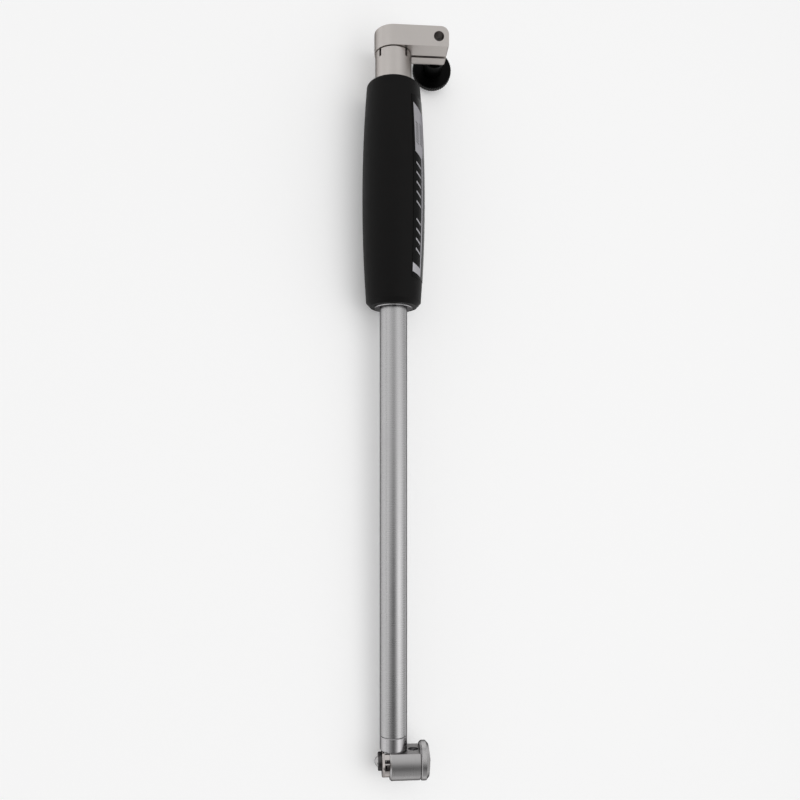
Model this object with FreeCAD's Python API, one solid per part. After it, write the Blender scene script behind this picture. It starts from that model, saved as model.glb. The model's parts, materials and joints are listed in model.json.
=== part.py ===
import FreeCAD, Part
import math
import os

# Dial bore gauge body, 35-60 mm class, without its indicator and anvils.  Millimetres.
# The gauge is drawn standing: Z runs up the stem from 0 on the measuring axis, X runs
# along the measuring axis (contact at -X, cap nut at +X), Y points to the back, where
# the clamp knob is.  At the end every piece is laid down together, as the gauge comes
# to rest on a table: on the grip's belly, the knob's rim and one wing of the bridge.

# ---- driving dimensions -------------------------------------------------------------
SLIDE_GAP = 0.05          # radial clearance of everything that slides or turns
THREAD_GAP = 0.05         # radial clearance left for a thread
STOP_GAP = 0.1            # what is left open at the end of a travel
EDGE = 0.3                # broken edge on turned and milled metal

# head housing, a round bar along X with a milled flat on top and a neck in front
HOUSING_R = 10.3
HOUSING_L = 16.4
HOUSING_X0 = -2.3
HOUSING_CHAMFER = 0.8
FLAT_Z = 6.3
NECK_L = 1.25
NECK_HALF_Y = 4.4

# contact plunger
CONTACT_R = 2.85
CONTACT_PROUD = 2.2       # nose in front of the bush
CONTACT_TRAVEL = 1.6
NOSE_L = 1.9
NOSE_FACE_R = 1.5
BALL_R = 1.4
BALL_PROUD = 0.65
STOP_PIN_R = 0.8
STOP_PIN_IN = 1.8         # stop pin behind the housing's front face
STOP_SLOT_DEPTH = 1.5

# guide bridge: plate with a wing on each side and a windowed skirt round the neck
GUIDE_TRAVEL = 1.5
BRIDGE_R = 8.4
BRIDGE_WALL = 1.2
PLATE_T = 1.25
PLATE_DROP = 0.2          # plate's top edge below the flat
WING_HALF = 11.0
WING_TIP_R = 3.0
SKIRT_TOP = 5.6
SKIRT_IN = 0.7            # skirt inside the housing at rest
WINDOW_TOP = 3.3
WINDOW_H = 6.0
GUIDE_PIN_R = 0.7
GUIDE_PIN_Y = 6.2
GUIDE_PIN_Z = 0.3
GUIDE_PIN_IN = 4.7
BUSH_R = 4.95
BUSH_PROUD = 2.1
BUSH_SPIGOT_R = 3.7

# guide spring, round the plunger in the front of the neck
GUIDE_SPRING_R = 3.25
GUIDE_WIRE_R = 0.2
GUIDE_SPRING_TURNS = 3
GUIDE_SPRING_POCKET = 1.05

# cap nut and its locking screw
NUT_R = 10.5
NUT_CHAMFER = 1.0
NUT_SIDE_L = 3.4
NUT_BEVEL_L = 1.6
NUT_BEVEL = 1.8
NUT_DOME_L = 0.95
NUT_NUB_R = 1.3
NUT_NUB_L = 0.25
NUT_SPIGOT_R = 4.0
NUT_SPIGOT_L = 4.5
LOCK_R = 2.8
LOCK_FROM_END = 3.2
LOCK_SLOT_W = 0.7
LOCK_SLOT_D = 0.8
LOCK_SLOT_TURN = 55.0
LOCK_SINK = 1.0

# collar and tube
COLLAR_R = 7.45
COLLAR_H = 8.2
COLLAR_FOOT_R = 3.0
COLLAR_FOOT_L = 2.5
COLLAR_SPIGOT_L = 13.5
COLLAR_UNDERCUT_R = 6.7
COLLAR_UNDERCUT_H = 0.6
SEAM_W = 0.4              # groove round the joint of collar and tube
SEAM_DEPTH = 0.6
TUBE_R = 7.5
TUBE_WALL = 2.0
TUBE_L = 337.5

# push rod and what is on it
ROD_R = 1.5
TIP_R = 1.6
TIP_SHANK = 1.7
ROD_HEAD_R = 2.5
ROD_HEAD_L = 6.0
ROD_HEAD_CHAMFER = 0.8
ROD_HEAD_DROP = 4.4       # button below the floor of the indicator's bore
ROD_BORE_R = 2.4
LOWER_BUSH_L = 10.0
ROD_COLLAR_R = 5.2
ROD_COLLAR_L = 3.0
ROD_SPRING_R = 3.7
ROD_WIRE_R = 0.45
ROD_SPRING_L = 24.0
ROD_SPRING_TURNS = 6
UPPER_BUSH_L = 10.0
UPPER_FLANGE_L = 2.0

# grip, a barrel round the tube's upper end
GRIP_L = 120.4
GRIP_OVER_TUBE = 16.4     # grip above the tube's end, round the stem
GRIP_FACE_R = 12.85
GRIP_LIP_H = 2.4
GRIP_LOW_R = 15.0
GRIP_BELLY_R = 17.0
GRIP_BELLY_AT = 56.0      # thickest place above the lower face
GRIP_TOP_R = 14.5
GRIP_TOP_ROUND = 1.5
FERRULE_R = 10.4
FERRULE_PROUD = 0.7
FERRULE_L = 5.0
LABEL_T = 0.2
LABEL_GLUE = 0.05
LABEL_L = 95.0
LABEL_BELOW_TOP = 9.4
LABEL_START = 43.0        # degrees round from the front
LABEL_SPAN = 94.0

# stem with its slit collet
STEM_R = 9.9
STEM_NECK_L = 17.4        # stem between grip and clamp
STEM_SPIGOT_L = 20.0
STEM_BORE_R = 3.0
COLLET_R = 7.9
COLLET_L = 10.6
INDICATOR_R = 4.0         # bore for an 8 mm indicator stem
INDICATOR_DEPTH = 20.0
SLIT_W = 1.5
SLIT_DROP = 4.1           # slits below the stem's shoulder
SLIT_COUNT = 4
SLIT_TURN = -4.5          # degrees the four slits are turned from the diagonals

# split clamp
CLAMP_R = 10.4
CLAMP_SEAT_GAP = 0.2
CLAMP_H = 10.9
CLAMP_REACH = 29.2
CLAMP_SLOT_W = 2.0
CLAMP_TOP_ROUND = 4.3
CLAMP_LOW_ROUND = 1.0
CLAMP_REAR_ROUND = 4.0
SCREW_FROM_END = 5.4
SCREW_R = 2.7
SCREW_SINK = 6.5          # end of the screw below the front face
EAR_CLEARANCE = 0.3

# knob
KNOB_R = 11.2
KNOB_T = 3.6
KNOB_HUB_R = 5.5
KNOB_HUB_L = 11.0
KNOB_TEETH = 48
KNOB_TOOTH = 0.4
KNOB_CHAMFER = 0.6
KNOB_DISH_R = 7.4
KNOB_DISH = 0.9

# ---- places that follow from them ----------------------------------------------------
HOUSING_X1 = HOUSING_X0 + HOUSING_L
NECK_X0 = HOUSING_X0 - NECK_L
PLATE_X1 = NECK_X0 - GUIDE_TRAVEL - STOP_GAP
PLATE_X0 = PLATE_X1 - PLATE_T
PLATE_TOP = FLAT_Z - PLATE_DROP
PIN_X0 = PLATE_X0 + 2 * EDGE
BUSH_X0 = PLATE_X0 - BUSH_PROUD
CONTACT_APEX = BUSH_X0 - CONTACT_PROUD
SKIRT_X1 = HOUSING_X0 + SKIRT_IN
SKIRT_INNER_R = BRIDGE_R - BRIDGE_WALL
STOP_PIN_X = HOUSING_X0 + STOP_PIN_IN
LOCK_X = HOUSING_X1 - LOCK_FROM_END
PLUNGER_BORE_R = CONTACT_R + SLIDE_GAP
COLLAR_TOP = FLAT_Z + COLLAR_H
COLLAR_FOOT_Z = FLAT_Z - COLLAR_FOOT_L
TUBE_TOP = COLLAR_TOP + TUBE_L
TUBE_BORE_R = TUBE_R - TUBE_WALL
SPIGOT_R = TUBE_BORE_R - SLIDE_GAP
GRIP_BORE_R = TUBE_R + SLIDE_GAP
GRIP_TOP_Z = TUBE_TOP + GRIP_OVER_TUBE
GRIP_FACE_Z = GRIP_TOP_Z - GRIP_L
GRIP_LOW_Z = GRIP_FACE_Z + GRIP_LIP_H
GRIP_BELLY_Z = GRIP_FACE_Z + GRIP_BELLY_AT
LABEL_Z1 = GRIP_TOP_Z - LABEL_BELOW_TOP
LABEL_Z0 = LABEL_Z1 - LABEL_L
STEM_SHOULDER_Z = GRIP_TOP_Z + STEM_NECK_L
SLIT_BOTTOM = STEM_SHOULDER_Z - SLIT_DROP
COLLET_TOP = STEM_SHOULDER_Z + COLLET_L
INDICATOR_FLOOR = COLLET_TOP - INDICATOR_DEPTH
UPPER_SEAT_Z = TUBE_TOP - STEM_SPIGOT_L
TIP_CENTRE_Z = (TIP_R + SLIDE_GAP) * math.sqrt(2)
TIP_TOP = TIP_CENTRE_Z + TIP_SHANK
ROD_TOP = INDICATOR_FLOOR - ROD_HEAD_DROP - ROD_HEAD_L
SPRING_TOP_Z = UPPER_SEAT_Z - UPPER_FLANGE_L
SPRING_LOW_Z = SPRING_TOP_Z - ROD_SPRING_L
CLAMP_Z0 = STEM_SHOULDER_Z + CLAMP_SEAT_GAP
CLAMP_BORE_R = COLLET_R + SLIDE_GAP
SCREW_X = CLAMP_REACH - SCREW_FROM_END
SCREW_Z = CLAMP_Z0 + CLAMP_H / 2
KNOB_Y0 = CLAMP_R + KNOB_HUB_L
KNOB_Y1 = KNOB_Y0 + KNOB_T
X_AXIS = FreeCAD.Vector(1, 0, 0)
Y_AXIS = FreeCAD.Vector(0, 1, 0)
Z_AXIS = FreeCAD.Vector(0, 0, 1)
BIG = 60.0                # larger than any cross-section, for cutting tools
WIRE_SIDES = 4            # facets round the section of a spring's wire


def vec(x, y, z):
    return FreeCAD.Vector(x, y, z)


def bar_x(radius, x0, x1, y=0.0, z=0.0):
    """Round bar along X."""
    return Part.makeCylinder(radius, x1 - x0, vec(x0, y, z), X_AXIS)


def bar_y(radius, y0, y1, x=0.0, z=0.0):
    """Round bar along Y."""
    return Part.makeCylinder(radius, y1 - y0, vec(x, y0, z), Y_AXIS)


def bar_z(radius, z0, z1, x=0.0, y=0.0):
    """Round bar along Z."""
    return Part.makeCylinder(radius, z1 - z0, vec(x, y, z0), Z_AXIS)


def block(x0, x1, y0, y1, z0, z1):
    """Box between two corners."""
    return Part.makeBox(x1 - x0, y1 - y0, z1 - z0, vec(x0, y0, z0))


def outline(points):
    """Closed wire of straight runs; a point given as a pair (through, end) is an arc."""
    edges = []
    here = points[0]
    for step in points[1:] + [points[0]]:
        if isinstance(step, tuple):
            edges.append(Part.Arc(here, step[0], step[1]).toShape())
            here = step[1]
        elif here.distanceToPoint(step) > 1e-6:
            edges.append(Part.makeLine(here, step))
            here = step
    return Part.Face(Part.Wire(edges))


def turned_z(profile, start=0.0, span=360.0):
    """Turn (radius, height) points round the stem's axis."""
    points = [tuple(vec(r, 0, z) for r, z in p) if isinstance(p[0], tuple)
              else vec(p[0], 0, p[1]) for p in profile]
    face = outline(points)
    face.rotate(vec(0, 0, 0), Z_AXIS, start)
    return face.revolve(vec(0, 0, 0), Z_AXIS, span)


def turned_x(profile):
    """Turn (place along X, radius) points round the measuring axis."""
    points = [tuple(vec(x, 0, r) for x, r in p) if isinstance(p[0], tuple)
              else vec(p[0], 0, p[1]) for p in profile]
    return outline(points).revolve(vec(0, 0, 0), X_AXIS, 360)


def sleeve_z(outer, inner, z0, z1):
    """Plain ring round the stem's axis with broken outer edges."""
    c = min(EDGE, (outer - inner) / 3, (z1 - z0) / 3)
    return turned_z([(inner, z0), (outer - c, z0), (outer, z0 + c), (outer, z1 - c),
                     (outer - c, z1), (inner, z1)])


def helix_spring(mean_r, wire_r, length, turns):
    """Coil along +Z whose wire lies between 0 and length."""
    rise = length - 2 * wire_r
    pitch = rise / turns
    path = Part.Wire(Part.makeHelix(pitch, rise, mean_r).Edges)
    corners = []
    for k in range(WIRE_SIDES):
        turn = 2 * math.pi * k / WIRE_SIDES
        corners.append(vec(mean_r + wire_r * math.cos(turn), 0, wire_r * math.sin(turn)))
    section = Part.makePolygon(corners + corners[:1])
    coil = path.makePipeShell([section], True, True)
    coil.translate(vec(0, 0, wire_r))
    return coil


def edges_where(shape, test):
    """Edges whose middle and ends pass the test."""
    return [e for e in shape.Edges if all(test(v.Point) for v in e.Vertexes) and
            test(e.valueAt((e.FirstParameter + e.LastParameter) / 2))]


# ---- head ---------------------------------------------------------------------------
def head_housing():
    body = bar_x(HOUSING_R, HOUSING_X0, HOUSING_X1)
    ends = [e for e in body.Edges if isinstance(e.Curve, Part.Circle) and
            abs(e.Curve.Center.x - HOUSING_X0) < EDGE]
    body = body.makeChamfer(HOUSING_CHAMFER, ends)
    body = body.cut(block(-BIG, BIG, -BIG, BIG, FLAT_Z, BIG))
    # a pocket takes the skirt of the guide bridge and leaves the neck standing in it
    pocket_x1 = SKIRT_X1 + GUIDE_TRAVEL + STOP_GAP
    pocket = bar_x(BRIDGE_R + SLIDE_GAP, HOUSING_X0 - 1, pocket_x1)
    pocket = pocket.cut(block(-BIG, BIG, -BIG, BIG, SKIRT_TOP + SLIDE_GAP, BIG))
    neck = bar_x(SKIRT_INNER_R - SLIDE_GAP, NECK_X0, pocket_x1)
    neck = neck.common(block(-BIG, BIG, -NECK_HALF_Y, NECK_HALF_Y, -BIG, FLAT_Z))
    shoulder = block(NECK_X0, pocket_x1, -NECK_HALF_Y, NECK_HALF_Y, 0, FLAT_Z)
    body = body.cut(pocket).fuse(neck.fuse(shoulder)).removeSplitter()
    # plunger bore, spring pocket, rod bore and the seat of the collar's foot
    body = body.cut(bar_x(PLUNGER_BORE_R, NECK_X0 - 1, CONTACT_R + CONTACT_TRAVEL + 2 * EDGE))
    body = body.cut(bar_x(GUIDE_SPRING_R + 2 * GUIDE_WIRE_R, NECK_X0 - 1,
                          NECK_X0 + GUIDE_SPRING_POCKET))
    body = body.cut(bar_z(TIP_R + 4 * SLIDE_GAP, 0, COLLAR_FOOT_Z))
    body = body.cut(bar_z(COLLAR_FOOT_R + THREAD_GAP, COLLAR_FOOT_Z, FLAT_Z + 1))
    # guide pin bores
    for side in (-1, 1):
        body = body.cut(bar_x(GUIDE_PIN_R + SLIDE_GAP, pocket_x1 - 1,
                              HOUSING_X0 + GUIDE_PIN_IN + GUIDE_TRAVEL + EDGE,
                              side * GUIDE_PIN_Y, GUIDE_PIN_Z))
    # threaded seats of the cap nut, its locking screw and the stop pin
    body = body.cut(bar_x(NUT_SPIGOT_R + THREAD_GAP, HOUSING_X1 - NUT_SPIGOT_L - EDGE,
                          HOUSING_X1 + 1))
    body = body.cut(bar_z(LOCK_R + THREAD_GAP, NUT_SPIGOT_R / 2, FLAT_Z + 1, LOCK_X))
    body = body.cut(bar_z(STOP_PIN_R, -BIG, -CONTACT_R / 2, STOP_PIN_X))
    return body


def contact_plunger():
    """Round plunger: domed nose outside, a 45 degree ramp inside that lifts the rod."""
    nose_x = CONTACT_APEX + BALL_PROUD
    shoulder_x = nose_x + NOSE_L
    middle_r = NOSE_FACE_R + 0.62 * (CONTACT_R - NOSE_FACE_R)
    middle_x = nose_x + 0.34 * (shoulder_x - nose_x)
    body = turned_x([(nose_x, 0), (nose_x, NOSE_FACE_R),
                     ((middle_x, middle_r), (shoulder_x, CONTACT_R)),
                     (CONTACT_R, CONTACT_R), (CONTACT_R, 0)])
    ramp = block(0, BIG, -BIG, BIG, 0, BIG)
    ramp = ramp.fuse(block(-BIG, 0, -BIG, BIG, 0, BIG))
    ramp.rotate(vec(0, 0, 0), Y_AXIS, 45)
    body = body.cut(ramp)
    body = body.cut(Part.makeSphere(BALL_R, vec(CONTACT_APEX + BALL_R, 0, 0)))
    slot_x0 = STOP_PIN_X - STOP_PIN_R - CONTACT_TRAVEL - SLIDE_GAP
    slot_x1 = STOP_PIN_X + STOP_PIN_R + SLIDE_GAP
    slot_y = STOP_PIN_R + SLIDE_GAP
    return body.cut(block(slot_x0, slot_x1, -slot_y, slot_y, -BIG,
                          -CONTACT_R + STOP_SLOT_DEPTH))


def contact_ball():
    return Part.makeSphere(BALL_R, vec(CONTACT_APEX + BALL_R, 0, 0))


def contact_stop_pin():
    top = -CONTACT_R + STOP_SLOT_DEPTH - 2 * SLIDE_GAP
    pin = bar_z(STOP_PIN_R, -HOUSING_R, top, STOP_PIN_X)
    return pin.common(bar_x(HOUSING_R - SLIDE_GAP, HOUSING_X0, HOUSING_X1))


def bridge_plate():
    """Flat plate whose round middle runs in straight flanks to a rounded tip each side."""
    tip_y = WING_HALF - WING_TIP_R
    lean = math.acos((BRIDGE_R - WING_TIP_R) / tip_y)
    across, up = math.cos(lean), math.sin(lean)

    def at(y, z):
        return vec(PLATE_X0, y, z)

    root_y, root_z = BRIDGE_R * across, BRIDGE_R * up
    end_y, end_z = tip_y + WING_TIP_R * across, WING_TIP_R * up
    face = outline([at(root_y, root_z), at(end_y, end_z),
                    (at(WING_HALF, 0), at(end_y, -end_z)), at(root_y, -root_z),
                    (at(0, -BRIDGE_R), at(-root_y, -root_z)), at(-end_y, -end_z),
                    (at(-WING_HALF, 0), at(-end_y, end_z)), at(-root_y, root_z),
                    (at(0, BRIDGE_R), at(root_y, root_z))])
    plate = face.extrude(vec(PLATE_T, 0, 0)).cut(block(-BIG, BIG, -BIG, BIG, PLATE_TOP, BIG))
    return plate.makeChamfer(EDGE, edges_where(plate, lambda p: abs(p.x - PLATE_X0) < 0.01))


def guide_bridge():
    """Winged plate and a round skirt, windowed at the sides and open above for the neck."""
    skirt = bar_x(BRIDGE_R, PLATE_X1, SKIRT_X1)
    skirt = skirt.cut(bar_x(SKIRT_INNER_R, PLATE_X1 - 1, SKIRT_X1 + 1))
    gap = NECK_HALF_Y + SLIDE_GAP
    skirt = skirt.cut(block(-BIG, BIG, -BIG, BIG, SKIRT_TOP, BIG))
    skirt = skirt.cut(block(-BIG, BIG, -gap, gap, 0, BIG))
    skirt = skirt.cut(block(PLATE_X1, HOUSING_X0, -BIG, BIG, WINDOW_TOP - WINDOW_H, WINDOW_TOP))
    # notch that lets the skirt pass the plunger's stop pin
    notch_x = STOP_PIN_X - STOP_PIN_R - GUIDE_TRAVEL - STOP_GAP
    notch_y = STOP_PIN_R + STOP_GAP
    skirt = skirt.cut(block(notch_x, BIG, -notch_y, notch_y, -BIG, 0))
    bridge = bridge_plate().fuse(skirt).removeSplitter()
    bridge = bridge.cut(bar_x(BUSH_SPIGOT_R, PLATE_X0 - 1, PLATE_X1 + 1))
    for side in (-1, 1):
        bridge = bridge.cut(guide_pin(side))
    return bridge


def guide_bush():
    """Dark ring in front of the plate, pressed into it, that the nose slides through."""
    inner = CONTACT_R + SLIDE_GAP
    return turned_x([(BUSH_X0, inner), (BUSH_X0, BUSH_R - EDGE), (BUSH_X0 + EDGE, BUSH_R),
                     (PLATE_X0, BUSH_R), (PLATE_X0, BUSH_SPIGOT_R),
                     (PLATE_X1, BUSH_SPIGOT_R), (PLATE_X1, inner)])


def guide_pin(side):
    return bar_x(GUIDE_PIN_R, PIN_X0, HOUSING_X0 + GUIDE_PIN_IN, side * GUIDE_PIN_Y,
                 GUIDE_PIN_Z)


def guide_spring():
    floor_x = NECK_X0 + GUIDE_SPRING_POCKET
    coil = helix_spring(GUIDE_SPRING_R, GUIDE_WIRE_R, floor_x - PLATE_X1, GUIDE_SPRING_TURNS)
    coil.rotate(vec(0, 0, 0), Y_AXIS, 90)
    coil.translate(vec(PLATE_X1, 0, 0))
    return coil


def cap_nut():
    """Domed nut with a wide rim; its threaded spigot closes the anvil seat."""
    spigot_x = HOUSING_X1 - NUT_SPIGOT_L
    side_x = HOUSING_X1 + NUT_SIDE_L
    face_x = side_x + NUT_BEVEL_L
    face_r = NUT_R - NUT_BEVEL
    dome_x = face_x + NUT_DOME_L
    # the dome's middle point stands a little proud of the straight cone
    middle = (face_x + 0.62 * NUT_DOME_L, (face_r + NUT_NUB_R) / 2)
    return turned_x([(spigot_x, 0), (spigot_x, NUT_SPIGOT_R - EDGE),
                     (spigot_x + EDGE, NUT_SPIGOT_R), (HOUSING_X1, NUT_SPIGOT_R),
                     (HOUSING_X1, NUT_R - NUT_CHAMFER), (HOUSING_X1 + NUT_CHAMFER, NUT_R),
                     (side_x, NUT_R), (face_x, face_r), (middle, (dome_x, NUT_NUB_R)),
                     (dome_x + NUT_NUB_L, NUT_NUB_R - EDGE), (dome_x + NUT_NUB_L, 0)])


def cap_lock_screw():
    low = NUT_SPIGOT_R + THREAD_GAP
    screw = bar_z(LOCK_R, low, FLAT_Z - LOCK_SINK, LOCK_X)
    slot = block(LOCK_X - BIG, LOCK_X + BIG, -LOCK_SLOT_W / 2, LOCK_SLOT_W / 2,
                 FLAT_Z - LOCK_SINK - LOCK_SLOT_D, FLAT_Z)
    slot.rotate(vec(LOCK_X, 0, 0), Z_AXIS, LOCK_SLOT_TURN)
    return screw.cut(slot)


def head_collar():
    """Collar that stands on the flat and carries the tube on its spigot."""
    undercut_top = FLAT_Z + COLLAR_UNDERCUT_H
    seam_low = COLLAR_TOP - SEAM_W
    return turned_z([(ROD_BORE_R, COLLAR_FOOT_Z), (COLLAR_FOOT_R, COLLAR_FOOT_Z),
                     (COLLAR_FOOT_R, FLAT_Z), (COLLAR_UNDERCUT_R, FLAT_Z),
                     (COLLAR_UNDERCUT_R, undercut_top), (COLLAR_R - EDGE / 2, undercut_top),
                     (COLLAR_R, undercut_top + EDGE / 2), (COLLAR_R, seam_low - EDGE / 2),
                     (COLLAR_R - EDGE / 2, seam_low), (COLLAR_R - SEAM_DEPTH, seam_low),
                     (COLLAR_R - SEAM_DEPTH, COLLAR_TOP), (SPIGOT_R, COLLAR_TOP),
                     (SPIGOT_R, COLLAR_TOP + COLLAR_SPIGOT_L),
                     (ROD_BORE_R, COLLAR_TOP + COLLAR_SPIGOT_L)])


# ---- tube and rod ---------------------------------------------------------------------
def main_tube():
    return turned_z([(TUBE_BORE_R, COLLAR_TOP), (TUBE_R - EDGE / 2, COLLAR_TOP),
                     (TUBE_R, COLLAR_TOP + EDGE / 2), (TUBE_R, TUBE_TOP),
                     (TUBE_BORE_R, TUBE_TOP)])


def lower_rod_bush():
    top = COLLAR_TOP + COLLAR_SPIGOT_L
    return sleeve_z(ROD_BORE_R, ROD_R + SLIDE_GAP, top - LOWER_BUSH_L, top)


def upper_rod_bush():
    """Flanged bush in the stem's spigot; its flange is the spring's upper seat."""
    inner = ROD_R + SLIDE_GAP
    return turned_z([(inner, SPRING_TOP_Z), (SPIGOT_R, SPRING_TOP_Z), (SPIGOT_R, UPPER_SEAT_Z),
                     (STEM_BORE_R, UPPER_SEAT_Z), (STEM_BORE_R, UPPER_SEAT_Z + UPPER_BUSH_L),
                     (inner, UPPER_SEAT_Z + UPPER_BUSH_L)])


def push_rod():
    return bar_z(ROD_R, TIP_TOP, ROD_TOP)


def rod_tip():
    """Hardened round-nosed tip that rides on the plunger's ramp."""
    low = TIP_CENTRE_Z - TIP_R
    side = TIP_R * math.sqrt(0.5)
    return turned_z([(0, low), ((side, TIP_CENTRE_Z - side), (TIP_R, TIP_CENTRE_Z)),
                     (TIP_R, TIP_TOP), (0, TIP_TOP)])


def rod_head():
    """Button on top of the rod that the indicator's plunger touches."""
    top = ROD_TOP + ROD_HEAD_L
    return turned_z([(0, ROD_TOP), (ROD_HEAD_R, ROD_TOP), (ROD_HEAD_R, top - ROD_HEAD_CHAMFER),
                     (ROD_HEAD_R - ROD_HEAD_CHAMFER, top), (0, top)])


def rod_collar():
    return sleeve_z(ROD_COLLAR_R, ROD_R, SPRING_LOW_Z - ROD_COLLAR_L, SPRING_LOW_Z)


def rod_spring():
    coil = helix_spring(ROD_SPRING_R, ROD_WIRE_R, ROD_SPRING_L, ROD_SPRING_TURNS)
    coil.translate(vec(0, 0, SPRING_LOW_Z))
    return coil


# ---- grip -----------------------------------------------------------------------------
def grip_circle():
    """Centre (radius, height) and size of the one arc that gives the grip its barrel."""
    (x1, y1), (x2, y2), (x3, y3) = ((GRIP_LOW_R, GRIP_LOW_Z), (GRIP_BELLY_R, GRIP_BELLY_Z),
                                    (GRIP_TOP_R, GRIP_TOP_Z))
    d = 2 * (x1 * (y2 - y3) + x2 * (y3 - y1) + x3 * (y1 - y2))
    s1, s2, s3 = x1 * x1 + y1 * y1, x2 * x2 + y2 * y2, x3 * x3 + y3 * y3
    cx = (s1 * (y2 - y3) + s2 * (y3 - y1) + s3 * (y1 - y2)) / d
    cy = (s1 * (x3 - x2) + s2 * (x1 - x3) + s3 * (x2 - x1)) / d
    return cx, cy, math.hypot(x1 - cx, y1 - cy)


def grip_radius(z, proud=0.0):
    """Radius of the grip's barrel at a height, or of a skin that stands proud of it."""
    cx, cy, size = grip_circle()
    return cx + math.sqrt((size + proud) ** 2 - (z - cy) ** 2)


def grip_sleeve():
    body = turned_z([(GRIP_BORE_R, GRIP_FACE_Z + FERRULE_L), (FERRULE_R, GRIP_FACE_Z + FERRULE_L),
                     (FERRULE_R, GRIP_FACE_Z), (GRIP_FACE_R, GRIP_FACE_Z),
                     (GRIP_LOW_R, GRIP_LOW_Z),
                     ((GRIP_BELLY_R, GRIP_BELLY_Z), (GRIP_TOP_R, GRIP_TOP_Z)),
                     (STEM_R, GRIP_TOP_Z), (STEM_R, TUBE_TOP), (GRIP_BORE_R, TUBE_TOP)])
    rim = [e for e in body.Edges if isinstance(e.Curve, Part.Circle) and
           abs(e.Curve.Radius - GRIP_TOP_R) < EDGE and
           abs(e.Curve.Center.z - GRIP_TOP_Z) < EDGE]
    return body.makeFillet(GRIP_TOP_ROUND, rim)


def grip_ferrule():
    return sleeve_z(FERRULE_R, GRIP_BORE_R, GRIP_FACE_Z - FERRULE_PROUD, GRIP_FACE_Z + FERRULE_L)


def grip_label():
    """Thin curved sticker on the grip's right side."""
    middle = (LABEL_Z0 + LABEL_Z1) / 2
    low, mid, top = [[(grip_radius(z, proud), z) for proud in (LABEL_GLUE, LABEL_T)]
                     for z in (LABEL_Z0, middle, LABEL_Z1)]
    return turned_z([low[0], low[1], (mid[1], top[1]), top[0], (mid[0], low[0])],
                    LABEL_START - 90, LABEL_SPAN)


# ---- stem, clamp and knob ---------------------------------------------------------------
def stem_collet():
    low = UPPER_SEAT_Z
    body = turned_z([(STEM_BORE_R, low), (SPIGOT_R, low), (SPIGOT_R, TUBE_TOP),
                     (STEM_R, TUBE_TOP), (STEM_R, STEM_SHOULDER_Z - EDGE),
                     (STEM_R - EDGE, STEM_SHOULDER_Z), (COLLET_R, STEM_SHOULDER_Z),
                     (COLLET_R, COLLET_TOP - EDGE), (COLLET_R - EDGE, COLLET_TOP),
                     (INDICATOR_R, COLLET_TOP), (INDICATOR_R, INDICATOR_FLOOR),
                     (STEM_BORE_R, INDICATOR_FLOOR)])
    for k in range(SLIT_COUNT):
        slit = block(0, BIG, -SLIT_W / 2, SLIT_W / 2, SLIT_BOTTOM, COLLET_TOP + 1)
        slit.rotate(vec(0, 0, 0), Z_AXIS, (k + 0.5) * 360 / SLIT_COUNT + SLIT_TURN)
        body = body.cut(slit)
    return body


def clamp_bracket():
    top = CLAMP_Z0 + CLAMP_H
    ears = block(0, CLAMP_REACH, -CLAMP_R, CLAMP_R, CLAMP_Z0, top)
    for x_test, z_test, y_test, radius in ((1, top, 0, CLAMP_TOP_ROUND),
                                           (1, CLAMP_Z0, 0, CLAMP_LOW_ROUND),
                                           (1, 0, CLAMP_R, CLAMP_REAR_ROUND)):
        picked = edges_where(ears, lambda p: abs(p.x - CLAMP_REACH) < 0.01 and
                             (abs(p.z - z_test) < 0.01 if z_test else abs(p.y - y_test) < 0.01))
        ears = ears.makeFillet(radius, picked[:1])
    body = ears.fuse(bar_z(CLAMP_R, CLAMP_Z0, top)).removeSplitter()
    body = body.cut(bar_z(CLAMP_BORE_R, CLAMP_Z0 - 1, top + 1))
    body = body.cut(block(0, BIG, -CLAMP_SLOT_W / 2, CLAMP_SLOT_W / 2, CLAMP_Z0 - 1, top + 1))
    body = body.cut(bar_y(SCREW_R + THREAD_GAP, -BIG, 0, SCREW_X, SCREW_Z))
    return body.cut(bar_y(SCREW_R + EAR_CLEARANCE, 0, BIG, SCREW_X, SCREW_Z))


def clamp_screw():
    return bar_y(SCREW_R, -CLAMP_R + SCREW_SINK, KNOB_Y1 - KNOB_DISH - EDGE, SCREW_X, SCREW_Z)


def clamp_knob():
    """Thin serrated disc on a long hub, moulded on the screw."""
    points = []
    for k in range(KNOB_TEETH):
        for part, radius in ((0.0, KNOB_R), (0.5, KNOB_R - KNOB_TOOTH)):
            turn = 2 * math.pi * (k + part) / KNOB_TEETH
            points.append(vec(SCREW_X + radius * math.cos(turn), KNOB_Y0,
                              SCREW_Z + radius * math.sin(turn)))
    rim = Part.Face(Part.makePolygon(points + points[:1])).extrude(vec(0, KNOB_Y1 - KNOB_Y0, 0))
    hub_y = CLAMP_R + 2 * SLIDE_GAP
    profile = [(0, hub_y), (KNOB_HUB_R, hub_y), (KNOB_HUB_R, KNOB_Y0),
               (KNOB_R - KNOB_CHAMFER, KNOB_Y0), (KNOB_R, KNOB_Y0 + KNOB_CHAMFER),
               (KNOB_R, KNOB_Y1 - KNOB_CHAMFER), (KNOB_R - KNOB_CHAMFER, KNOB_Y1),
               (KNOB_DISH_R + KNOB_DISH, KNOB_Y1), (KNOB_DISH_R, KNOB_Y1 - KNOB_DISH),
               (0, KNOB_Y1 - KNOB_DISH)]
    face = outline([vec(SCREW_X + r, y, SCREW_Z) for r, y in profile])
    disc = face.revolve(vec(SCREW_X, 0, SCREW_Z), Y_AXIS, 360)
    hub = bar_y(KNOB_HUB_R, hub_y, KNOB_Y0, SCREW_X, SCREW_Z)
    knob = disc.common(rim.fuse(hub))
    return knob.cut(clamp_screw())


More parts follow.
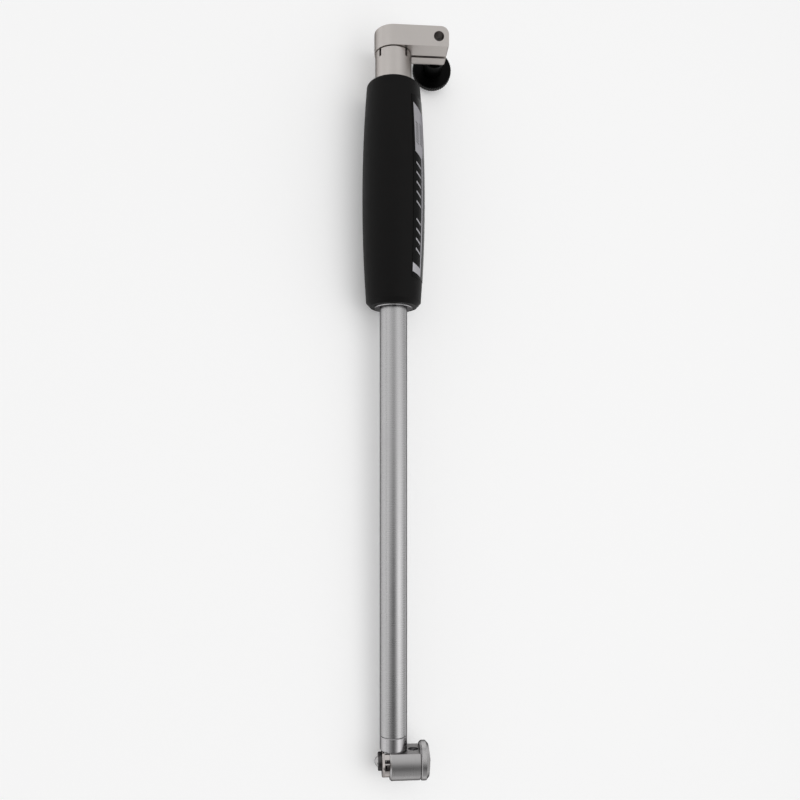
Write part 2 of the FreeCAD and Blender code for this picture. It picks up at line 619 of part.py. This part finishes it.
PIECES = {
    "head_housing": head_housing(),
    "contact_stop_pin": contact_stop_pin(),
    "cap_nut": cap_nut(),
    "cap_lock_screw": cap_lock_screw(),
    "head_collar": head_collar(),
    "main_tube": main_tube(),
    "lower_rod_bush": lower_rod_bush(),
    "upper_rod_bush": upper_rod_bush(),
    "rod_spring": rod_spring(),
    "grip_sleeve": grip_sleeve(),
    "grip_ferrule": grip_ferrule(),
    "grip_label": grip_label(),
    "stem_collet": stem_collet(),
    "guide_spring": guide_spring(),
    "contact_plunger": contact_plunger(),
    "contact_ball": contact_ball(),
    "push_rod": push_rod(),
    "rod_tip": rod_tip(),
    "rod_head": rod_head(),
    "rod_collar": rod_collar(),
    "guide_bridge": guide_bridge(),
    "guide_bush": guide_bush(),
    "guide_pin_front": guide_pin(-1),
    "guide_pin_rear": guide_pin(1),
    "clamp_bracket": clamp_bracket(),
    "clamp_screw": clamp_screw(),
    "clamp_knob": clamp_knob(),
}


# ---- lying down -------------------------------------------------------------------------
def reach_down(roll, tilt):
    """How far grip belly, knob rim and wing tip each reach below the axes' crossing."""
    up = vec(math.sin(roll) * math.cos(tilt), -math.cos(roll) * math.cos(tilt), math.sin(tilt))
    arc_r, arc_z, arc_size = grip_circle()
    belly = arc_r * math.cos(tilt) - arc_z * math.sin(tilt) + arc_size
    knob = max((KNOB_R - cut) * math.hypot(up.x, up.z) -
               up.dot(vec(SCREW_X, KNOB_Y1 - KNOB_CHAMFER + cut, SCREW_Z))
               for cut in (0, KNOB_CHAMFER))
    wing = max((WING_TIP_R - cut) * math.hypot(up.y, up.z) -
               up.dot(vec(PLATE_X0 + EDGE - cut, WING_HALF - WING_TIP_R, 0))
               for cut in (0, EDGE))
    return belly, knob, wing


def lying_placement():
    """Placement that sets the gauge down on those three, long axis along +Y, front up."""
    roll, tilt = math.radians(20), 0.0
    for _ in range(200):
        belly, knob, wing = reach_down(roll, tilt)
        tilt += (belly - wing) / (2 * GRIP_BELLY_Z)
        roll += (knob - belly) / (4 * KNOB_Y1)
    up = vec(math.sin(roll) * math.cos(tilt), -math.cos(roll) * math.cos(tilt), math.sin(tilt))
    along = (Z_AXIS - up * up.dot(Z_AXIS)).normalize()
    across = along.cross(up)
    turn = FreeCAD.Matrix(across.x, across.y, across.z, 0, along.x, along.y, along.z, 0,
                          up.x, up.y, up.z, max(belly, knob, wing), 0, 0, 0, 1)
    placed = FreeCAD.Placement(turn)
    whole = Part.makeCompound([s.copy() for s in PIECES.values()])
    whole.Placement = placed
    box = whole.BoundBox
    placed.Base = placed.Base - vec((box.XMin + box.XMax) / 2, (box.YMin + box.YMax) / 2, 0)
    return placed


LYING = lying_placement()
os.makedirs("parts", exist_ok=True)
for name, shape in PIECES.items():
    shape.transformShape(LYING.toMatrix())
    shape.exportStep("parts/" + name + ".step")
    print(name, shape.isValid(), len(shape.Solids), round(shape.Volume, 2))
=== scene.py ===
import json
import math
import bmesh
import bpy
from mathutils import Matrix, Vector
from mathutils.bvhtree import BVHTree


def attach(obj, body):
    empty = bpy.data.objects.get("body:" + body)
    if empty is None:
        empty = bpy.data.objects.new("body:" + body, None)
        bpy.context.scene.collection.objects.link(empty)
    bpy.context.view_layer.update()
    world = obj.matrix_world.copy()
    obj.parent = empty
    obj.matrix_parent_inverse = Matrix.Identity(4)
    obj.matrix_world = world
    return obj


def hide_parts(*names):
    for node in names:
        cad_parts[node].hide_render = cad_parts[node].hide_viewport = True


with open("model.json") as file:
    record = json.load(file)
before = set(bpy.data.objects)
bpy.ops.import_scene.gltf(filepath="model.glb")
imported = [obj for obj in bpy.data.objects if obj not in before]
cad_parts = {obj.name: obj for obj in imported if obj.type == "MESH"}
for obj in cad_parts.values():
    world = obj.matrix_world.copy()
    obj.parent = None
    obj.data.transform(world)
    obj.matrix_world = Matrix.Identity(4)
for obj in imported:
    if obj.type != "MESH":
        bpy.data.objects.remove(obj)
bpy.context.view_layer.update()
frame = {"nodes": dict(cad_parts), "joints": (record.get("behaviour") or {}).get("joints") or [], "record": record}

NODES = frame["nodes"]
MOUNTS = {m["name"]: m for m in frame["record"]["mounts"]}
JOINTS = {j["name"]: j for j in frame["joints"]}
MM = 0.001

# ---- the gauge's own frame: Z up the stem, X along the measuring axis, Y to its back ----
LONG = Vector(MOUNTS["indicator_clamp"]["axis"]).normalized()
ACROSS = Vector(JOINTS["contact_slide"]["axis"]).normalized()
BACK = LONG.cross(ACROSS)
CLAMP_POINT = Vector(MOUNTS["indicator_clamp"]["pos_m"])
CONTACT_POINT = Vector(MOUNTS["contact_point"]["pos_m"])
ORIGIN = CLAMP_POINT + LONG * (CONTACT_POINT - CLAMP_POINT).dot(LONG)
TURN = Matrix((ACROSS, BACK, LONG)).transposed()


def place(x, y, z):
    """Point of the gauge's own frame, in millimetres, as a point of the scene."""
    return ORIGIN + (ACROSS * x + BACK * y + LONG * z) * MM


def heading(x, y, z):
    """Direction of the gauge's own frame as a direction of the scene."""
    return (ACROSS * x + BACK * y + LONG * z).normalized()


# ---- camera -----------------------------------------------------------------------------
CAMERA_DISTANCE = 405.0    # from the stem's axis
CAMERA_HEIGHT = 152.0      # along the stem, above the measuring axis
CAMERA_SIDE = 3.6          # to the right of the stem
CAMERA_TURN = -4.4         # degrees round the stem, towards the contact
CAMERA_LENS = 33.3
CAMERA_SHIFT_Y = 0.10375


def make_camera():
    turn = math.radians(CAMERA_TURN)
    right = heading(math.cos(turn), math.sin(turn), 0)
    away = heading(math.sin(turn), -math.cos(turn), 0)
    data = bpy.data.cameras.new("camera")
    data.lens = CAMERA_LENS
    data.shift_y = CAMERA_SHIFT_Y
    data.clip_start = 0.01
    camera = bpy.data.objects.new("camera", data)
    bpy.context.scene.collection.objects.link(camera)
    spot = place(0, 0, CAMERA_HEIGHT) + away * CAMERA_DISTANCE * MM + right * CAMERA_SIDE * MM
    matrix = Matrix((right, LONG, away)).transposed().to_4x4()
    matrix.translation = spot
    camera.matrix_world = matrix
    bpy.context.scene.camera = camera


# ---- materials --------------------------------------------------------------------------
NOISE_LOW, NOISE_HIGH = 0.3, 0.7     # where the noise's own values begin and end
TURNED_Z = (0.12, 0.12, 9.0)         # fine lines round the stem
TURNED_X = (9.0, 0.12, 0.12)         # fine lines round the measuring axis
EVEN = (3.0, 3.0, 3.0)               # no direction, as blasted or plated
METAL_CLOUD = (0.09, 0.09, 0.09)     # broad patches of more and less gloss
METAL_MARK_GLOSS = 0.03              # how far tool marks change the roughness
METAL_CLOUD_GLOSS = 0.03
METAL_EDGE = 0.04                    # tint of the reflection at grazing angles
METAL_RELIEF_STRENGTH = 0.6
PLASTIC_CLOUD = (0.15, 0.15, 0.15)
PLASTIC_CLOUD_GLOSS = 0.04
PLASTIC_RELIEF_STRENGTH = 0.8
SHARP_ANGLE = math.radians(28)       # edges steeper than this stay sharp


class Look:
    """A node material under construction, in the gauge's own millimetres."""

    def __init__(self, name):
        self.material = bpy.data.materials.new(name)
        self.material.use_nodes = True
        self.tree = self.material.node_tree
        self.shader = self.tree.nodes["Principled BSDF"]
        coordinates = self.add("ShaderNodeTexCoord")
        self.own = self.add("ShaderNodeMapping", vector_type="TEXTURE")
        self.own.inputs["Location"].default_value = ORIGIN
        self.own.inputs["Rotation"].default_value = TURN.to_euler()
        self.own.inputs["Scale"].default_value = (MM, MM, MM)
        self.link(coordinates.outputs["Object"], self.own.inputs["Vector"])

    def add(self, kind, **settings):
        node = self.tree.nodes.new(kind)
        for key, value in settings.items():
            setattr(node, key, value)
        return node

    def link(self, source, target):
        self.tree.links.new(source, target)

    def set(self, **values):
        for key, value in values.items():
            self.shader.inputs[key.replace("_", " ")].default_value = value

    def noise(self, stretch, detail, roughness=0.55):
        """Noise whose grain is stretched: small numbers draw it out along that axis."""
        mapping = self.add("ShaderNodeMapping")
        mapping.inputs["Scale"].default_value = stretch
        self.link(self.own.outputs["Vector"], mapping.inputs["Vector"])
        noise = self.add("ShaderNodeTexNoise")
        noise.inputs["Scale"].default_value = 1.0
        noise.inputs["Detail"].default_value = detail
        noise.inputs["Roughness"].default_value = roughness
        self.link(mapping.outputs["Vector"], noise.inputs["Vector"])
        return noise.outputs["Fac"]

    def span(self, source, low, high):
        """Number that runs from low to high as the source does."""
        node = self.add("ShaderNodeMapRange")
        node.inputs["From Min"].default_value = NOISE_LOW
        node.inputs["From Max"].default_value = NOISE_HIGH
        node.inputs["To Min"].default_value = low
        node.inputs["To Max"].default_value = high
        self.link(source, node.inputs["Value"])
        return node.outputs["Result"]

    def tint(self, source, dark, light):
        """Colour between two that follows the source."""
        ramp = self.add("ShaderNodeValToRGB")
        ramp.color_ramp.elements[0].position = NOISE_LOW
        ramp.color_ramp.elements[0].color = (*dark, 1)
        ramp.color_ramp.elements[1].position = NOISE_HIGH
        ramp.color_ramp.elements[1].color = (*light, 1)
        self.link(source, ramp.inputs["Fac"])
        return ramp.outputs["Color"]

    def bump(self, source, depth, strength):
        """Relief of a depth in millimetres."""
        node = self.add("ShaderNodeBump")
        node.inputs["Strength"].default_value = strength
        node.inputs["Distance"].default_value = depth * MM
        self.link(source, node.inputs["Height"])
        self.link(node.outputs["Normal"], self.shader.inputs["Normal"])

    def colour(self, source):
        self.link(source, self.shader.inputs["Base Color"])

    def rough(self, source):
        self.link(source, self.shader.inputs["Roughness"])


def scaled(colour, factor):
    return tuple(min(1.0, c * factor) for c in colour)


def metal(name, colour, roughness, grain, contrast, relief):
    """Satin metal with tool marks along one direction and a cloudy variation of gloss."""
    look = Look(name)
    marks = look.noise(grain, 4.0, 0.6)
    cloud = look.noise(METAL_CLOUD, 2.0)
    look.set(Metallic=1.0, Specular_Tint=(METAL_EDGE, METAL_EDGE, METAL_EDGE, 1))
    look.colour(look.tint(marks, scaled(colour, 1 - contrast), scaled(colour, 1 + contrast)))
    mixed = look.add("ShaderNodeMath", operation="ADD")
    look.link(look.span(marks, roughness - METAL_MARK_GLOSS, roughness + METAL_MARK_GLOSS),
              mixed.inputs[0])
    look.link(look.span(cloud, -METAL_CLOUD_GLOSS, METAL_CLOUD_GLOSS), mixed.inputs[1])
    look.rough(mixed.outputs["Value"])
    look.bump(marks, relief, METAL_RELIEF_STRENGTH)
    return look.material


def plastic(name, colour, roughness, grain_scale, relief, specular):
    """Moulded plastic with a fine spark-eroded grain."""
    look = Look(name)
    grain = look.noise((grain_scale,) * 3, 2.0)
    cloud = look.noise(PLASTIC_CLOUD, 3.0)
    look.set(Specular_IOR_Level=specular)
    look.colour(look.tint(cloud, scaled(colour, 0.9), scaled(colour, 1.12)))
    look.rough(look.span(cloud, roughness - PLASTIC_CLOUD_GLOSS,
                         roughness + PLASTIC_CLOUD_GLOSS))
    look.bump(grain, relief, PLASTIC_RELIEF_STRENGTH)
    return look.material


def finish_mesh(mesh, material):
    """Give a mesh its material, and smooth shading between its sharp edges."""
    mesh.materials.clear()
    mesh.materials.append(material)
    mesh.polygons.foreach_set("use_smooth", [True] * len(mesh.polygons))
    mesh.set_sharp_from_angle(angle=SHARP_ANGLE)
    mesh.update()


def dress_everything():
    # Each metal: name, colour, roughness, grain, contrast of the marks, relief in millimetres.
    tube = metal("tube_satin", (0.52, 0.515, 0.52), 0.27, TURNED_Z, 0.05, 0.003)
    collar = metal("collar_turned", (0.56, 0.55, 0.56), 0.24, TURNED_Z, 0.07, 0.004)
    head = metal("head_ground", (0.50, 0.49, 0.49), 0.30, TURNED_X, 0.05, 0.003)
    nut = metal("nut_turned", (0.52, 0.51, 0.51), 0.24, TURNED_X, 0.06, 0.004)
    bridge = metal("bridge_plated", (0.62, 0.58, 0.56), 0.30, EVEN, 0.05, 0.003)
    stem = metal("stem_nickel", (0.60, 0.565, 0.54), 0.36, EVEN, 0.03, 0.002)
    ground = metal("ground_pin", (0.66, 0.63, 0.62), 0.22, TURNED_X, 0.05, 0.002)
    rod = metal("rod_ground", (0.58, 0.58, 0.59), 0.2, TURNED_Z, 0.04, 0.002)
    dark = metal("bush_black", (0.10, 0.095, 0.095), 0.33, TURNED_X, 0.15, 0.004)
    screw = metal("screw_zinc", (0.36, 0.36, 0.37), 0.30, EVEN, 0.10, 0.004)
    spring = metal("spring_wire", (0.42, 0.42, 0.44), 0.28, EVEN, 0.06, 0.002)
    carbide = metal("carbide", (0.60, 0.60, 0.61), 0.12, EVEN, 0.03, 0.001)
    brass = metal("brass", (0.74, 0.57, 0.30), 0.28, TURNED_Z, 0.06, 0.003)
    grip = plastic("grip_black", (0.0058, 0.0055, 0.0055), 0.52, 7.0, 0.008, specular=0.10)
    label = plastic("label_film", (0.003, 0.003, 0.003), 0.26, 2.0, 0.001, specular=0.10)
    knob = plastic("knob_black", (0.0012, 0.0012, 0.0012), 0.30, 3.0, 0.002, specular=0.06)
    finishes = (
        (tube, ("main_tube",)),
        (collar, ("head_collar", "grip_ferrule")),
        (head, ("head_housing", "contact_stop_pin")),
        (nut, ("cap_nut", "contact_plunger")),
        (bridge, ("guide_bridge",)),
        (stem, ("stem_collet", "clamp_bracket")),
        (ground, ("guide_pin_front", "guide_pin_rear")),
        (rod, ("push_rod", "rod_head", "rod_collar")),
        (dark, ("guide_bush",)),
        (screw, ("cap_lock_screw", "clamp_screw")),
        (spring, ("rod_spring", "guide_spring")),
        (carbide, ("contact_ball", "rod_tip")),
        (brass, ("lower_rod_bush", "upper_rod_bush")),
        (grip, ("grip_sleeve",)),
        (label, ("grip_label",)),
        (knob, ("clamp_knob",)),
    )
    for material, members in finishes:
        for node in members:
            finish_mesh(NODES[node].data, material)


# ---- the label on the grip --------------------------------------------------------------
# Corners are (degrees from the gauge's front towards its cap nut, height along the stem).
FILM = ((35.0, 261.6), (137.0, 261.6), (137.0, 359.0), (35.0, 359.0))
PANEL = ((40.0, 328.4), (62.0, 325.2), (80.0, 349.0), (38.5, 354.8))
RULE = ((57.0, 264.5), (61.0, 264.0), (62.5, 326.5), (58.5, 327.0))
FOOT = ((35.6, 264.6), (61.0, 262.6), (61.0, 266.6), (35.6, 269.2))
BAR_LOW, BAR_HIGH = 42.0, 55.0       # degrees that the slanted bars span
BAR_DROP, BAR_T = 2.4, 1.0
BAR_HEIGHTS = (274.0, 279.2, 284.4, 289.6, 299.0, 304.2, 309.4, 314.6, 319.8)
TICK_COLUMNS = ((43.0, 50.5), (54.5, 63.0))
TICK_FIRST, TICK_STEP, TICK_COUNT = 332.6, 1.5, 8
TICK_DROP, TICK_T = 1.2, 0.45
FILM_T, INK_T = 0.20, 0.03
GRIP_REACH = 40.0                    # outside the grip, where the seating rays start
FACE_DEGREES, FACE_HEIGHT = 2.5, 2.0


def slanted(low, high, at, drop, thick):
    """Slanted bar between two angles, as corners."""
    return ((low, at + drop), (high, at), (high, at + thick), (low, at + drop + thick))


def across_patch(corners, u, v):
    """Angle and height at the share u across and v along a four-cornered patch."""
    low_left, low_right, high_right, high_left = corners
    return [(low_left[i] * (1 - u) + low_right[i] * u) * (1 - v) +
            (high_left[i] * (1 - u) + high_right[i] * u) * v for i in (0, 1)]


def grip_surface():
    mesh = NODES["grip_sleeve"].data
    return BVHTree.FromPolygons([v.co for v in mesh.vertices],
                                [tuple(p.vertices) for p in mesh.polygons])


def seated(surface, degrees, height, proud):
    """Point that stands proud of the grip, found by a ray cast inwards from outside it."""
    turn = math.radians(degrees)
    out = heading(math.sin(turn), -math.cos(turn), 0)
    start = place(math.sin(turn) * GRIP_REACH, -math.cos(turn) * GRIP_REACH, height)
    return surface.ray_cast(start, -out)[0] + out * proud * MM


def add_sheet(form, surface, corners, low, high):
    """Closed thin sheet over a four-cornered patch, between two heights above the grip."""
    (a0, h0), (a1, h1), (a2, h2), (a3, h3) = corners
    across = max(2, round(max(abs(a1 - a0), abs(a2 - a3)) / FACE_DEGREES))
    along = max(1, round(max(abs(h3 - h0), abs(h2 - h1)) / FACE_HEIGHT))
    under, over = [[[form.verts.new(seated(surface, *across_patch(corners, i / across, j / along),
                                           proud))
                     for i in range(across + 1)] for j in range(along + 1)]
                   for proud in (low, high)]
    for j in range(along):
        for i in range(across):
            for rows, order in ((over, 1), (under, -1)):
                ring = (rows[j][i], rows[j][i + 1], rows[j + 1][i + 1], rows[j + 1][i])
                form.faces.new(ring[::order])
    rim = ([(0, i) for i in range(across)] + [(j, across) for j in range(along)] +
           [(along, i) for i in range(across, 0, -1)] + [(j, 0) for j in range(along, 0, -1)])
    for (j0, i0), (j1, i1) in zip(rim, rim[1:] + rim[:1]):
        form.faces.new((under[j0][i0], under[j1][i1], over[j1][i1], over[j0][i0]))


def make_sheet(name, surface, patches, low, high, material):
    """Piece of thin sheets on the grip, which rides with the gauge's body."""
    form = bmesh.new()
    for corners in patches:
        add_sheet(form, surface, corners, low, high)
    bmesh.ops.recalc_face_normals(form, faces=form.faces)
    mesh = bpy.data.meshes.new(name)
    form.to_mesh(mesh)
    form.free()
    finish_mesh(mesh, material)
    piece = bpy.data.objects.new(name, mesh)
    bpy.context.scene.collection.objects.link(piece)
    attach(piece, "gauge")
    return piece


def make_label():
    """Film round the grip's side with a silver panel, a rule with a foot, and plain bars."""
    surface = grip_surface()
    film = NODES["grip_label"].data.materials[0]
    silver = metal("label_silver", (0.60, 0.59, 0.62), 0.42, EVEN, 0.10, 0.002)
    dark = plastic("label_ink", (0.03, 0.03, 0.032), 0.45, 4.0, 0.001, 0.2)
    piece = make_sheet("label_film", surface, [FILM], 0.0, FILM_T, film)
    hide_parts("grip_label")
    bars = [slanted(BAR_LOW, BAR_HIGH, at, BAR_DROP, BAR_T) for at in BAR_HEIGHTS]
    ticks = [slanted(low, high, TICK_FIRST + k * TICK_STEP, TICK_DROP, TICK_T)
             for low, high in TICK_COLUMNS for k in range(TICK_COUNT)]
    silver_top = FILM_T + INK_T
    for name, patches in (("label_panel", [PANEL]), ("label_rule", [RULE]),
                          ("label_foot", [FOOT]), ("label_bars", bars)):
        make_sheet(name, surface, patches, FILM_T, silver_top, silver)
    make_sheet("label_ticks", surface, ticks, silver_top, silver_top + INK_T, dark)


# ---- stage and light --------------------------------------------------------------------
FLOOR_HALF = 3.0
FLOOR_COLOUR = (0.82, 0.82, 0.82, 1)
FLOOR_ROUGHNESS = 0.9
FLOOR_SPECULAR = 0.1
FLOOR_GLOW = 0.20                    # for camera and mirrors alone
HORIZON_GLOW = 0.66
HORIZON_LOW, HORIZON_HIGH = 0.04, 0.20   # upward share of a direction where the horizon ends
FILL_SIZE = 1.6
FILL_POWER = 5.0
FILL_AT = (0.1, 0.0, 1.2)

# Brightness of the studio's soft boxes by direction.  Each row is a height along the stem in
# degrees, with (degrees round the stem from the camera's side, brightness) pairs.
STUDIO = (
    (-58, ((-180, 0.38), (-90, 0.42), (0, 0.34), (60, 0.62), (100, 0.44), (180, 0.38))),
    (-28, ((-180, 0.36), (-122, 0.36), (-81, 0.46), (-50, 0.52), (-20, 0.16), (0, 0.05),
           (20, 0.18), (50, 0.95), (80, 0.62), (120, 0.36), (180, 0.36))),
    (-10, ((-180, 0.32), (-122, 0.34), (-84, 0.36), (-50, 1.05), (-24, 0.42), (0, 0.16),
           (12, 0.22), (27, 0.80), (42, 1.52), (54, 1.55), (76, 0.98), (103, 0.50),
           (140, 0.34), (180, 0.32))),
    (4, ((-180, 0.32), (-122, 0.34), (-90, 0.36), (-70, 0.62), (-48, 0.93), (-24, 0.76),
         (4, 0.46), (18, 0.64), (36, 0.94), (54, 1.08), (74, 0.98), (98, 0.70), (125, 0.50),
         (150, 0.34), (180, 0.32))),
    (18, ((-180, 0.34), (-122, 0.34), (-90, 0.56), (-47, 0.98), (-20, 0.76), (3, 0.66),
          (38, 0.96), (78, 0.62), (104, 0.48), (150, 0.32), (180, 0.34))),
    (40, ((-180, 0.34), (-120, 0.36), (-80, 0.58), (-30, 0.86), (0, 0.84), (30, 0.76),
          (60, 0.44), (90, 0.34), (180, 0.34))),
)


def make_floor():
    """Pale table that reads as white to camera and mirrors, and keeps the shadow."""
    mesh = bpy.data.meshes.new("floor")
    half = FLOOR_HALF
    mesh.from_pydata([(-half, -half, 0), (half, -half, 0), (half, half, 0), (-half, half, 0)],
                     [], [(0, 1, 2, 3)])
    floor = bpy.data.objects.new("floor", mesh)
    bpy.context.scene.collection.objects.link(floor)
    material = bpy.data.materials.new("floor_white")
    material.use_nodes = True
    tree = material.node_tree
    shader = tree.nodes["Principled BSDF"]
    shader.inputs["Base Color"].default_value = FLOOR_COLOUR
    shader.inputs["Roughness"].default_value = FLOOR_ROUGHNESS
    shader.inputs["Specular IOR Level"].default_value = FLOOR_SPECULAR
    shader.inputs["Emission Color"].default_value = (1, 1, 1, 1)
    path = tree.nodes.new("ShaderNodeLightPath")
    seen = path.outputs["Is Camera Ray"]
    for other in ("Is Glossy Ray", "Is Transmission Ray"):
        either = tree.nodes.new("ShaderNodeMath")
        either.operation = "MAXIMUM"
        tree.links.new(seen, either.inputs[0])
        tree.links.new(path.outputs[other], either.inputs[1])
        seen = either.outputs["Value"]
    scale = tree.nodes.new("ShaderNodeMath")
    scale.operation = "MULTIPLY"
    scale.inputs[1].default_value = FLOOR_GLOW
    tree.links.new(seen, scale.inputs[0])
    tree.links.new(scale.outputs["Value"], shader.inputs["Emission Strength"])
    mesh.materials.append(material)


def make_studio():
    """World whose brightness follows the direction, as a ring of soft boxes gives it."""
    world = bpy.data.worlds.new("studio")
    bpy.context.scene.world = world
    world.use_nodes = True
    tree = world.node_tree
    direction = tree.nodes.new("ShaderNodeTexCoord").outputs["Generated"]

    def along(axis):
        node = tree.nodes.new("ShaderNodeVectorMath")
        node.operation = "DOT_PRODUCT"
        node.inputs[1].default_value = axis
        tree.links.new(direction, node.inputs[0])
        return node.outputs["Value"]

    def maths(operation, first, second=None):
        node = tree.nodes.new("ShaderNodeMath")
        node.operation = operation
        tree.links.new(first, node.inputs[0])
        if second:
            tree.links.new(second, node.inputs[1])
        return node.outputs["Value"]

    def smooth(source, low, high, kind="SMOOTHSTEP"):
        node = tree.nodes.new("ShaderNodeMapRange")
        node.interpolation_type = kind
        node.inputs["From Min"].default_value = low
        node.inputs["From Max"].default_value = high
        tree.links.new(source, node.inputs["Value"])
        return node.outputs["Result"]

    def blend(factor, first, second):
        node = tree.nodes.new("ShaderNodeMix")
        node.data_type = "FLOAT"
        tree.links.new(factor, node.inputs[0])
        if isinstance(first, float):
            node.inputs[2].default_value = first
        else:
            tree.links.new(first, node.inputs[2])
        tree.links.new(second, node.inputs[3])
        return node.outputs[0]

    turn = math.radians(CAMERA_TURN)
    right = heading(math.cos(turn), math.sin(turn), 0)
    front = heading(math.sin(turn), -math.cos(turn), 0)
    round_stem = smooth(maths("ARCTAN2", along(right), along(front)), -math.pi, math.pi,
                        kind="LINEAR")
    height = maths("ARCSINE", along(LONG))
    light = None
    for row, (degrees, pairs) in enumerate(STUDIO):
        node = tree.nodes.new("ShaderNodeValToRGB")
        ramp = node.color_ramp
        ramp.interpolation = "EASE"
        while len(ramp.elements) < len(pairs):
            ramp.elements.new(0.5)
        for stop, (angle, _) in zip(ramp.elements, pairs):
            stop.position = 0.5 + angle / 360.0
        # The ramp sorts its stops as they move, so each is placed again with its colour.
        for stop, (angle, value) in zip(ramp.elements, pairs):
            stop.position = 0.5 + angle / 360.0
            stop.color = (value, value, value, 1)
        tree.links.new(round_stem, node.inputs["Fac"])
        if light is None:
            light = node.outputs["Color"]
        else:
            below = math.radians(STUDIO[row - 1][0])
            light = blend(smooth(height, below, math.radians(degrees)), light,
                          node.outputs["Color"])
    light = blend(smooth(along((0, 0, 1)), HORIZON_LOW, HORIZON_HIGH), HORIZON_GLOW, light)
    tree.links.new(light, tree.nodes["Background"].inputs["Strength"])
    tree.nodes["Background"].inputs["Color"].default_value = (1, 1, 1, 1)


def make_fill():
    """Large soft box overhead that lifts matt surfaces and leaves the metal's bands alone."""
    data = bpy.data.lights.new("overhead", "AREA")
    data.shape = "SQUARE"
    data.size = FILL_SIZE
    data.energy = FILL_POWER
    lamp = bpy.data.objects.new("overhead", data)
    bpy.context.scene.collection.objects.link(lamp)
    lamp.location = FILL_AT
    lamp.visible_glossy = False


make_camera()
dress_everything()
make_label()
make_floor()
make_studio()
make_fill()
bpy.context.scene.view_settings.view_transform = "Standard"
